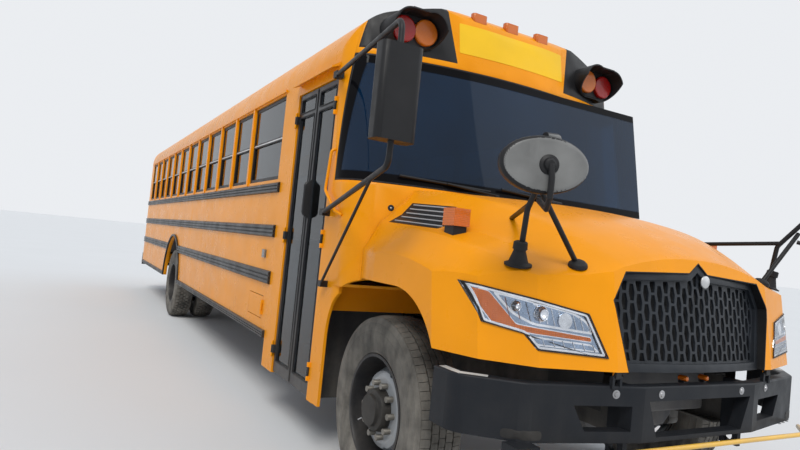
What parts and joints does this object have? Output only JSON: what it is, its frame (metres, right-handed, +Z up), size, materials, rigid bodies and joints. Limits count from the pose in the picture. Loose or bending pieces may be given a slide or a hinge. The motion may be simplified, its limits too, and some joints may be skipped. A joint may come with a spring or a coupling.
{
  "type": "conventional school bus",
  "caption": "Long-nosed school bus with folding entrance door, tilting hood, steered front wheels, twin rear wheels, swing-out arms and a rear exit door.",
  "frame": {"origin": "on the ground under the middle of the whole bus", "axes": "+Z up, -Y forward, +X to the driver's side"},
  "size_m": [3.16, 12.343, 3.198],
  "materials": {
    "body_yellow": "gloss",
    "roof_white": "gloss",
    "frame_black": "satin",
    "floor_black": "satin",
    "trim_black": "matt",
    "mirror_black": "satin",
    "glass_tint": "gloss",
    "door_dark": "satin",
    "seat_vinyl": "satin",
    "dash_grey": "matt",
    "engine_iron": "rough",
    "tank_steel": "satin",
    "lamp_lens": "gloss",
    "headlamp_lens": "gloss",
    "wheel_steel": "satin",
    "tyre_rubber": "matt",
    "arm_yellow": "gloss",
    "sign_red": "gloss"
  },
  "bodies": {
    "root": {"frame_rails": "frame_black", "floor_pan": "floor_black", "left_side_wall": "body_yellow", "right_side_wall": "body_yellow", "roof_shell": "roof_white", "roof_hatches": "roof_white", "front_cap": "body_yellow", "cowl_panel": "body_yellow", "rear_wall": "body_yellow", "windshield": "glass_tint", "window_glass": "glass_tint", "window_frames": "trim_black", "rub_rails": "trim_black", "front_bumper": "trim_black", "rear_bumper": "frame_black", "seats": "seat_vinyl", "dashboard": "dash_grey", "engine_block": "engine_iron", "front_axle": "frame_black", "rear_axle": "frame_black", "fuel_tank": "tank_steel", "exhaust_pipe": "tank_steel", "rearview_mirrors": "mirror_black", "lamps": "lamp_lens", "exterior_housings": "trim_black", "wipers": "trim_black"},
    "hood": {"hood": "body_yellow", "grille": "trim_black", "hood_lamps": "headlamp_lens", "crossview_mirrors": "mirror_black"},
    "knuckle_left": {"steering_knuckle_left": "frame_black"},
    "knuckle_right": {"steering_knuckle_right": "frame_black"},
    "tie_rod": {"tie_rod": "frame_black"},
    "front_wheel_left": {"front_wheel_left": "wheel_steel", "front_tyre_left": "tyre_rubber"},
    "front_wheel_right": {"front_wheel_right": "wheel_steel", "front_tyre_right": "tyre_rubber"},
    "rear_wheels_left": {"rear_wheels_left": "wheel_steel", "rear_tyres_left": "tyre_rubber"},
    "rear_wheels_right": {"rear_wheels_right": "wheel_steel", "rear_tyres_right": "tyre_rubber"},
    "door_leaf_front": {"door_leaf_front": "door_dark"},
    "door_leaf_rear": {"door_leaf_rear": "door_dark"},
    "emergency_door": {"emergency_door": "body_yellow"},
    "crossing_arm": {"crossing_arm": "arm_yellow"},
    "stop_arm": {"stop_arm": "sign_red"},
    "fuel_door": {"fuel_door": "body_yellow"}
  },
  "joints": [
    {"name": "hood_tilt", "type": "hinge", "parent": "root", "child": "hood", "pos_m": [0, -6.0035, 0.922], "axis": [1, 0, 0], "range_deg": [0, 70]},
    {"name": "steer_left", "type": "hinge", "parent": "root", "child": "knuckle_left", "pos_m": [0.925, -4.9285, 0.508], "axis": [0, 0, 1], "range_deg": [-38, 38]},
    {"name": "steer_right", "type": "hinge", "parent": "root", "child": "knuckle_right", "pos_m": [-0.925, -4.9285, 0.508], "axis": [0, 0, 1], "range_deg": [-38, 38]},
    {"name": "tie_rod_pin", "type": "hinge", "parent": "knuckle_left", "child": "tie_rod", "pos_m": [0.84, -4.7085, 0.447], "axis": [0, 0, 1], "range_deg": [-38, 38]},
    {"name": "spin_front_left", "type": "hinge", "parent": "knuckle_left", "child": "front_wheel_left", "pos_m": [1.052, -4.9285, 0.508], "axis": [1, 0, 0], "continuous": true},
    {"name": "spin_front_right", "type": "hinge", "parent": "knuckle_right", "child": "front_wheel_right", "pos_m": [-1.052, -4.9285, 0.508], "axis": [1, 0, 0], "continuous": true},
    {"name": "spin_rear_left", "type": "hinge", "parent": "root", "child": "rear_wheels_left", "pos_m": [0.8905, 2.0815, 0.508], "axis": [1, 0, 0], "continuous": true},
    {"name": "spin_rear_right", "type": "hinge", "parent": "root", "child": "rear_wheels_right", "pos_m": [-0.8905, 2.0815, 0.508], "axis": [1, 0, 0], "continuous": true},
    {"name": "door_front_swing", "type": "hinge", "parent": "root", "child": "door_leaf_front", "pos_m": [-1.229, -4.0665, 1.4], "axis": [0, 0, 1], "range_deg": [0, 88]},
    {"name": "door_rear_swing", "type": "hinge", "parent": "root", "child": "door_leaf_rear", "pos_m": [-1.229, -3.2805, 1.4], "axis": [0, 0, 1], "range_deg": [-88, 0]},
    {"name": "emergency_door_swing", "type": "hinge", "parent": "root", "child": "emergency_door", "pos_m": [-0.468, 6.0815, 1.75], "axis": [0, 0, 1], "range_deg": [0, 110]},
    {"name": "crossing_arm_swing", "type": "hinge", "parent": "root", "child": "crossing_arm", "pos_m": [-1, -5.9945, 0.612], "axis": [0, 0, 1], "range_deg": [-90, 0]},
    {"name": "stop_arm_swing", "type": "hinge", "parent": "root", "child": "stop_arm", "pos_m": [1.2773, -3.6085, 1.54], "axis": [0, 0, 1], "range_deg": [-90, 0]},
    {"name": "fuel_door_swing", "type": "hinge", "parent": "root", "child": "fuel_door", "pos_m": [-1.229, -2.8765, 0.785], "axis": [0, 0, 1], "range_deg": [0, 100]}
  ],
  "couplings": [
    {"joint": "steer_right", "follows": "steer_left", "ratio": 1},
    {"joint": "tie_rod_pin", "follows": "steer_left", "ratio": -1},
    {"joint": "door_rear_swing", "follows": "door_front_swing", "ratio": -1}
  ]
}
